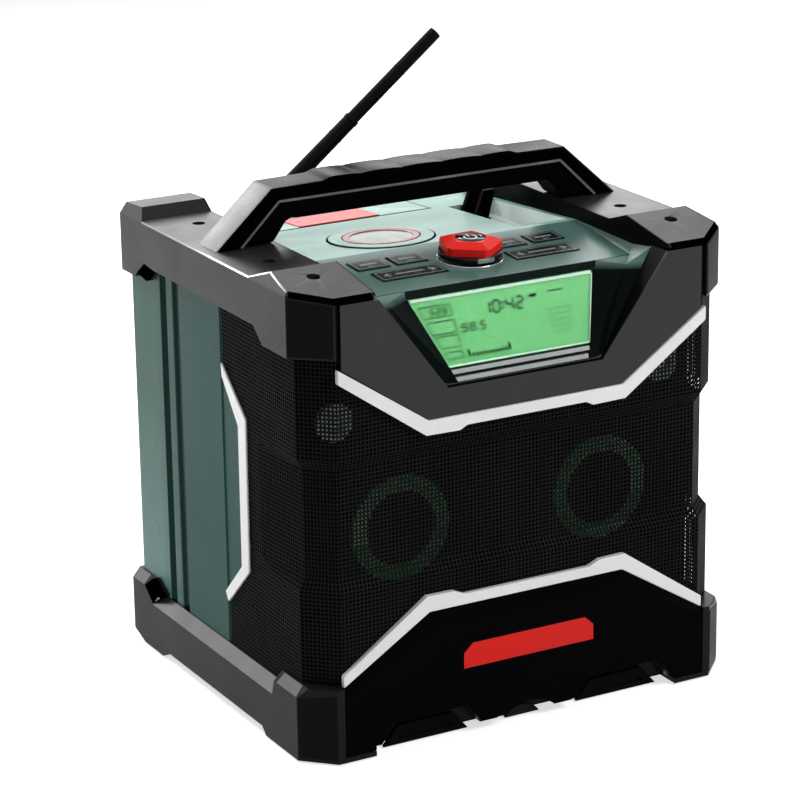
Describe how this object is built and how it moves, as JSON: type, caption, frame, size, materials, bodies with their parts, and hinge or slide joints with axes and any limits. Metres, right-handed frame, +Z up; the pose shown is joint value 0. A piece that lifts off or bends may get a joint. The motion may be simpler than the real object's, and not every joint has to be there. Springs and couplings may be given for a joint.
{
  "type": "jobsite radio",
  "caption": "Rugged cube-shaped jobsite radio with corner bumpers, top carrying handle, sunk display, knob, keys, folding antenna, wrap-round grille and rear battery door.",
  "frame": {"origin": "under the middle of the footprint, on the plane the rubber feet stand on", "axes": "+Z up, -Y towards the front with the display, +X to the right seen from the front"},
  "size_m": [0.282, 0.235, 0.3692],
  "materials": {
    "dark_shell": "fine moulded texture, satin",
    "soft_grip": "matt soft-touch",
    "antenna_rubber": "satin",
    "green_shell": "satin moulded",
    "dark_green": "gloss",
    "red_plastic": "satin gloss",
    "grille_sheet": "perforated, black powder coat",
    "white_gloss": "gloss",
    "clear_window": "clear",
    "display_green": "lit display",
    "grey_plate": "satin",
    "inner_black": "matt",
    "ring_green": "satin",
    "steel": "zinc plated",
    "circuit_board": "solder mask",
    "chrome_ring": "polished"
  },
  "bodies": {
    "cabinet": {"amplifier_board": "circuit_board", "antenna_base": "dark_shell", "antenna_clip": "dark_shell", "antenna_pin": "steel", "badge_bezel": "dark_shell", "badge_plate": "red_plastic", "base_bumper": "dark_shell", "battery_contacts": "steel", "battery_pack": "inner_black", "control_deck": "green_shell", "dish_disc": "white_gloss", "dish_ring": "green_shell", "display_bezel": "dark_green", "display_window": "clear_window", "door_pin": "steel", "encoder": "inner_black", "flap_pin": "steel", "frame_screws": "steel", "front_apron": "dark_shell", "front_fascia": "dark_shell", "front_grille": "grille_sheet", "handle": "dark_shell", "handle_grip": "soft_grip", "inner_case": "inner_black", "knob_seat": "dark_green", "latch_plates": "grey_plate", "lcd_module": "display_green", "lower_trim": "white_gloss", "main_board": "circuit_board", "power_inlet": "inner_black", "rear_cover": "green_shell", "rubber_feet": "soft_grip", "side_grille_left": "grille_sheet", "side_grille_right": "grille_sheet", "side_panel_left": "green_shell", "side_panel_right": "green_shell", "side_trims": "white_gloss", "speaker_baffle": "inner_black", "top_frame": "dark_shell", "tweeters": "inner_black", "upper_trim": "white_gloss", "woofer_baskets": "steel", "woofer_cones": "inner_black", "woofer_magnets": "steel", "woofer_rings": "ring_green"},
    "knob_push": {"encoder_shaft": "steel"},
    "knob": {"knob_skirt": "chrome_ring", "knob_cap": "red_plastic"},
    "antenna_arm": {"antenna": "antenna_rubber"},
    "door": {"battery_door": "green_shell", "door_gasket": "soft_grip"},
    "latch": {"door_latch": "red_plastic"},
    "flap": {"inlet_flap": "soft_grip"},
    "key_1": {"button_1": "dark_green"},
    "key_2": {"button_2": "dark_green"},
    "key_3": {"button_3": "dark_green"},
    "key_4": {"button_4": "dark_green"},
    "key_5": {"button_5": "dark_green"},
    "key_6": {"button_6": "dark_green"}
  },
  "joints": [
    {"name": "knob_press", "type": "slide", "parent": "cabinet", "child": "knob_push", "axis": [0, 0.0571, -0.9984], "range_m": [0, 0.0012], "stiffness_N_per_m": 600, "springref_m": -0.001},
    {"name": "knob_turn", "type": "hinge", "parent": "knob_push", "child": "knob", "pos_m": [0, -0.053, 0.26], "axis": [0, -0.0571, 0.9984], "continuous": true},
    {"name": "antenna_fold", "type": "hinge", "parent": "cabinet", "child": "antenna_arm", "pos_m": [-0.082, 0.06, 0.2665], "axis": [0, -1, 0], "range_deg": [-38.5, 51.5]},
    {"name": "door_swing", "type": "hinge", "parent": "cabinet", "child": "door", "pos_m": [-0.015, 0.114, 0.084], "axis": [-1, 0, 0], "range_deg": [0, 100]},
    {"name": "latch_slide", "type": "slide", "parent": "door", "child": "latch", "axis": [0, 0.9976, -0.0698], "range_m": [0, 0.004], "stiffness_N_per_m": 300, "springref_m": -0.002},
    {"name": "flap_swing", "type": "hinge", "parent": "cabinet", "child": "flap", "pos_m": [0.1, 0.1153, 0.0854], "axis": [1, 0, 0], "range_deg": [0, 110]},
    {"name": "key_1_press", "type": "slide", "parent": "cabinet", "child": "key_1", "axis": [0, 0, -1], "range_m": [0, 0.0008], "stiffness_N_per_m": 400, "springref_m": -0.001},
    {"name": "key_2_press", "type": "slide", "parent": "cabinet", "child": "key_2", "axis": [0, 0, -1], "range_m": [0, 0.0008], "stiffness_N_per_m": 400, "springref_m": -0.001},
    {"name": "key_3_press", "type": "slide", "parent": "cabinet", "child": "key_3", "axis": [0, 0, -1], "range_m": [0, 0.0008], "stiffness_N_per_m": 400, "springref_m": -0.001},
    {"name": "key_4_press", "type": "slide", "parent": "cabinet", "child": "key_4", "axis": [0, 0, -1], "range_m": [0, 0.0008], "stiffness_N_per_m": 400, "springref_m": -0.001},
    {"name": "key_5_press", "type": "slide", "parent": "cabinet", "child": "key_5", "axis": [0, 0, -1], "range_m": [0, 0.0008], "stiffness_N_per_m": 400, "springref_m": -0.001},
    {"name": "key_6_press", "type": "slide", "parent": "cabinet", "child": "key_6", "axis": [0, 0, -1], "range_m": [0, 0.0008], "stiffness_N_per_m": 400, "springref_m": -0.001}
  ]
}
